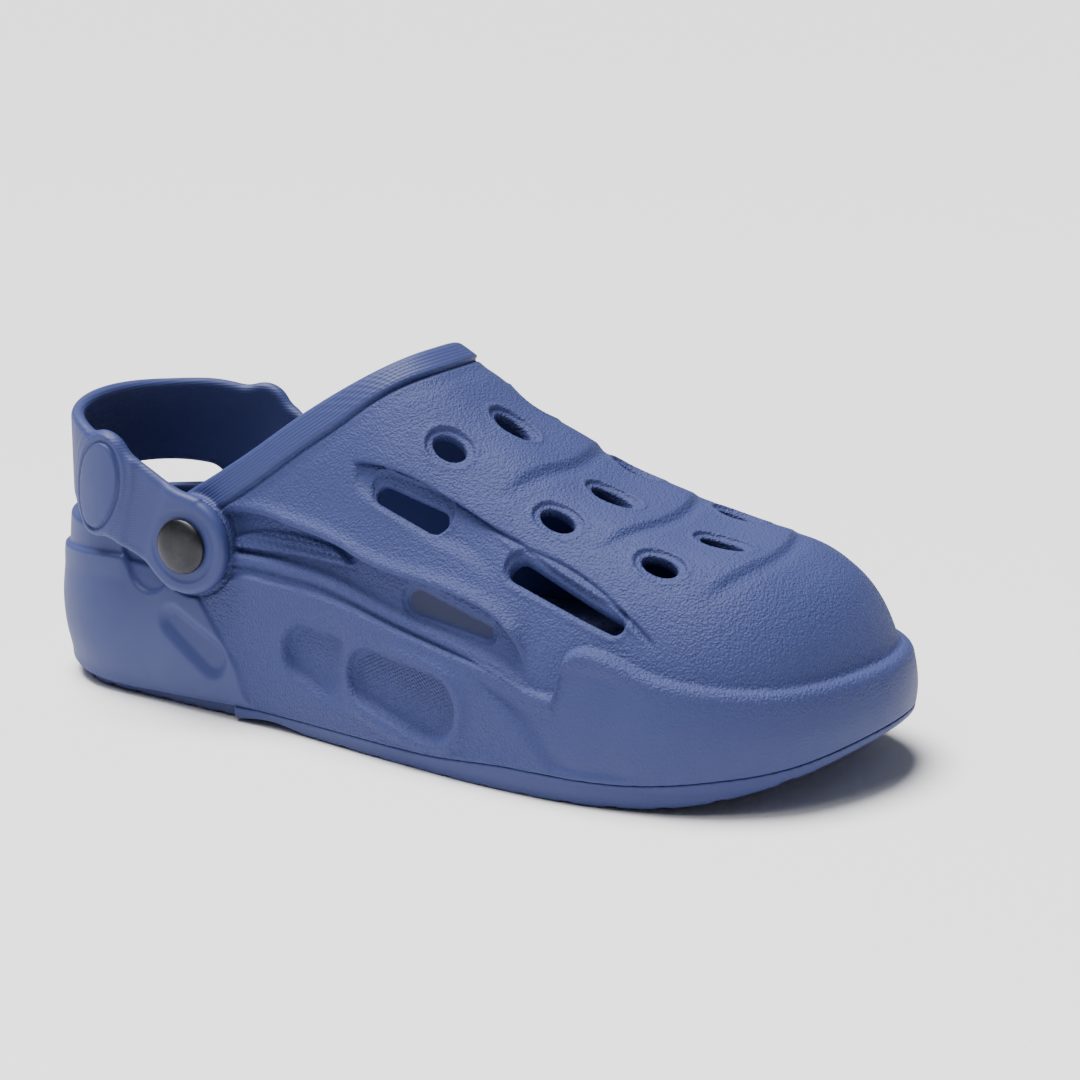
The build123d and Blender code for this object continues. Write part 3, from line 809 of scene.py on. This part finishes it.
def rubber(name, colour, grain=0.0, roughness=0.56, masks=()):
    """Foamed rubber: soft mottling, pores, the moulded textures that the masks place, and painted shade on
    the floors of the blind pockets.
    """
    paint = Shader(name)
    mottle = paint.noise(24, 3)
    speckle = paint.ramp(paint.noise(0.9, 1), 0.24, 0.3)
    tone = paint.total(0.5, paint.times(mottle, 0.5), paint.times(speckle, 0.25))
    leather = paint.total(
        paint.times(paint.noise(0.62, 1, 0.5, 0.1), 0.20),
        paint.times(paint.cells(0.8, "SMOOTH_F1"), 0.16),
    )
    share = paint.mask("grain") if "grain" in masks else grain
    height = paint.total(
        paint.times(leather, share, 2.1),
        paint.times(paint.noise(0.45, 1), 0.03),
        paint.times(paint.noise(9, 2), 0.05),
    )
    x, y, z = paint.axes()
    if "band" in masks:
        band = paint.mask("band")
        on_band = paint.times(paint.ramp(band, 1.0, 1.8), paint.ramp(band, 9.2, 8.4))
        height = paint.total(height, paint.times(paint.wave(band, 1.0), on_band, 0.05))
        knit = paint.times(paint.wave(y, 1.1), paint.ramp(z, 96, 104), on_band, 0.04)
        height = paint.total(height, knit)
    if "window" in masks:
        bubbles = paint.ramp(paint.cells(1.1), 0.5, 0.15)
        height = paint.total(height, paint.times(bubbles, paint.mask("window"), 0.05))
    if "hatch" in masks:
        rising = paint.wave(paint.total(x, z), 1.25)
        falling = paint.wave(paint.math("SUBTRACT", paint.times(x, 0.55), z), 1.25)
        height = paint.total(height, paint.times(paint.total(rising, falling), paint.mask("hatch"), 0.085))
    if "woven" in masks:
        weave = paint.total(paint.wave(z, 0.9), paint.times(paint.wave(paint.total(x, y), 0.9), 0.6))
        height = paint.total(height, paint.times(weave, paint.mask("woven"), 0.022))
    paint.bump(height)
    tint = paint.mix(tone, shade(colour, 0.93), shade(colour, 1.08))
    # Painted shade: the colour is darkened on the floors of the blind pockets, standing in for the shade in
    # the recess.
    if "pocket" in masks:
        tint = paint.mix(paint.times(paint.mask("pocket"), 0.8), tint, (0.019, 0.023, 0.062, 1))
    paint.put(paint.surface.inputs["Base Color"], tint)
    worn = paint.total(roughness, paint.times(paint.noise(9, 2), 0.10), paint.times(speckle, -0.05),
                       paint.times(share, 0.10))
    paint.put(paint.surface.inputs["Roughness"], worn)
    paint.put(paint.surface.inputs["Specular IOR Level"], 0.38)
    return paint.material


def dark_metal(name):
    """Black-plated rivet metal with faint smudges and fine turning marks."""
    paint = Shader(name)
    smudge = paint.ramp(paint.noise(9, 3, 0.55, 0.3), -0.2, 0.25)
    scratch = paint.noise(0.35, 2)
    tint = paint.mix(smudge, (0.028, 0.028, 0.032, 1), (0.052, 0.052, 0.060, 1))
    paint.put(paint.surface.inputs["Base Color"], tint)
    paint.put(paint.surface.inputs["Metallic"], 0.85)
    polish = paint.total(0.33, paint.times(smudge, 0.16), paint.times(scratch, 0.05))
    paint.put(paint.surface.inputs["Roughness"], polish)
    paint.bump(paint.total(paint.times(scratch, 0.012), paint.times(paint.noise(3, 2), 0.05)))
    return paint.material


def moulded_plastic(name, colour):
    """Plain moulded plastic of the rivet backs."""
    paint = Shader(name)
    paint.put(paint.surface.inputs["Base Color"], paint.mix(
        paint.total(0.5, paint.noise(3, 2)), shade(colour, 0.85), shade(colour, 1.15)))
    paint.put(paint.surface.inputs["Roughness"], paint.total(0.42, paint.times(paint.noise(1.2, 2), 0.15)))
    paint.bump(paint.times(paint.noise(0.6, 2), 0.03))
    return paint.material


BLUE = (0.034, 0.047, 0.160)
body_foam = rubber("clog_foam", BLUE, masks=("grain", "band", "window", "hatch", "pocket"))
strap_foam = rubber("strap_foam", BLUE, grain=0.0, masks=("woven",))
outsole_rubber = rubber("outsole_rubber", shade(BLUE, 0.94), grain=0.12, roughness=0.6)
insole_foam = rubber("insole_foam", shade(BLUE, 0.96), grain=0.55, roughness=0.62)
rivet_metal = dark_metal("rivet_metal")
rivet_plastic = moulded_plastic("rivet_plastic", (0.05, 0.07, 0.15))

# ================================================================ pieces
body = mesh_field("clog_body_form", body_field, (-8, -68, -2), (300, 66, 122), FINE, {
    "grain": grain_mask, "band": collar_across, "window": window_mask, "hatch": hatch_mask,
    # the pocket mask places painted shade on the floors of the blind pockets
    "pocket": pocket_painted_shade_mask,
})
sole = mesh_field("outsole_form", outsole_field, (-8, -68, -3), (300, 66, 26), FINE_SMALL)
footbed = mesh_field("insole_form", insole_field, (-2, -62, 22), (292, 62, 34), FINE_SMALL)
strap = mesh_field("heel_strap_form", strap_field, (2, -52, 34), (94, 52, 100), FINE_SMALL, {
    "woven": arm_mask,
})

CAP_FACE = PAD_FACE + 0.3 + STRAP_THICK + 0.3   # underside of a rivet cap
cap_profile = [(0.0, 33.0), (3.2, 33.0), (3.9, 33.6), (3.9, CAP_FACE), (8.4, CAP_FACE),
               (8.7, CAP_FACE + 0.2)]
for degrees in range(0, 90, 6):
    lift = 0.7 + 2.3 * math.sin(math.radians(degrees))
    cap_profile.append((8.78 * math.cos(math.radians(degrees)), CAP_FACE + lift))
cap_profile.append((0.0, CAP_FACE + 3.0))
back_profile = [(4.02, 34.95), (4.02, 33.0), (7.0, 32.95), (7.7, 33.4), (7.95, 34.0), (7.95, 34.7),
                (7.6, 34.95)]

looks = [
    (body, "clog_body", body_foam, "body_foam", "root"),
    (sole, "outsole", outsole_rubber, "outsole_rubber", "root"),
    (footbed, "insole", insole_foam, "insole_foam", "root"),
    (strap, "heel_strap", strap_foam, "strap_foam", "strap"),
]
for side, side_name in ((-1, "lateral"), (1, "medial")):
    cap = lathe(f"rivet_cap_{side_name}_form", cap_profile, side)
    back = lathe(f"rivet_back_{side_name}_form", back_profile, side, 64)
    looks.append((cap, f"rivet_cap_{side_name}", rivet_metal, "rivet_metal", "root"))
    looks.append((back, f"rivet_back_{side_name}", rivet_plastic, "rivet_plastic", "root"))
for piece, node, material, slot_name, body_name in looks:
    piece.data.materials.append(material)
    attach(piece, body_name)
    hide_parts(node)

# ================================================================ floor, light and camera
FLOOR_HALF = 12.0                               # half the floor's side, m
LIGHT_DISTANCE = 1.6                            # from the clog to an area light, m

floor_mesh = bpy.data.meshes.new("floor")
floor_corners = [(-1, -1), (1, -1), (1, 1), (-1, 1)]
floor_mesh.from_pydata([(FLOOR_HALF * x, FLOOR_HALF * y, 0) for x, y in floor_corners], [], [(0, 1, 2, 3)])
floor = bpy.data.objects.new("floor", floor_mesh)
bpy.context.scene.collection.objects.link(floor)
floor_paint = Shader("pale_floor")
floor_paint.put(floor_paint.surface.inputs["Base Color"], (0.92, 0.92, 0.925, 1))
floor_paint.put(floor_paint.surface.inputs["Roughness"], 0.7)
floor_paint.put(floor_paint.surface.inputs["Specular IOR Level"], 0.2)
floor_mesh.materials.append(floor_paint.material)

world = bpy.context.scene.world or bpy.data.worlds.new("studio")
bpy.context.scene.world = world
world.use_nodes = True
world.node_tree.nodes["Background"].inputs["Color"].default_value = (1.0, 1.0, 1.0, 1)
world.node_tree.nodes["Background"].inputs["Strength"].default_value = 0.15


def light(name, kind, direction, power, **settings):
    """A light that shines on the clog from a direction."""
    lamp_data = bpy.data.lights.new(name, kind)
    lamp_data.energy = power
    for setting, value in settings.items():
        setattr(lamp_data, setting, value)
    lamp = bpy.data.objects.new(name, lamp_data)
    towards = Vector(direction).normalized()
    lamp.location = towards * LIGHT_DISTANCE
    lamp.rotation_mode = "QUATERNION"
    lamp.rotation_quaternion = towards.to_track_quat("Z", "Y")
    bpy.context.scene.collection.objects.link(lamp)


light("overhead", "SUN", (-0.24, 0.0, 0.95), 7.3, angle=math.radians(32))
light("front_softbox", "AREA", (-0.15, -1.0, 1.6), 7.0, size=0.7)

VIEW_TARGET = Vector((0.0293, 0.0025, 0.0603))
VIEW_AZIMUTH, VIEW_ELEVATION = math.radians(29.3), math.radians(14.5)
VIEW_DISTANCE = 0.858
level = math.cos(VIEW_ELEVATION)
back = Vector((math.sin(VIEW_AZIMUTH) * level, -math.cos(VIEW_AZIMUTH) * level, math.sin(VIEW_ELEVATION)))
camera = bpy.data.objects.new("camera", bpy.data.cameras.new("camera"))
camera.data.lens = 92.63
camera.data.sensor_width = 36.0
camera.location = VIEW_TARGET + back * VIEW_DISTANCE
camera.rotation_mode = "QUATERNION"
camera.rotation_quaternion = (-back).to_track_quat("-Z", "Y")
camera.data.clip_start = 0.01
bpy.context.scene.collection.objects.link(camera)
bpy.context.scene.camera = camera
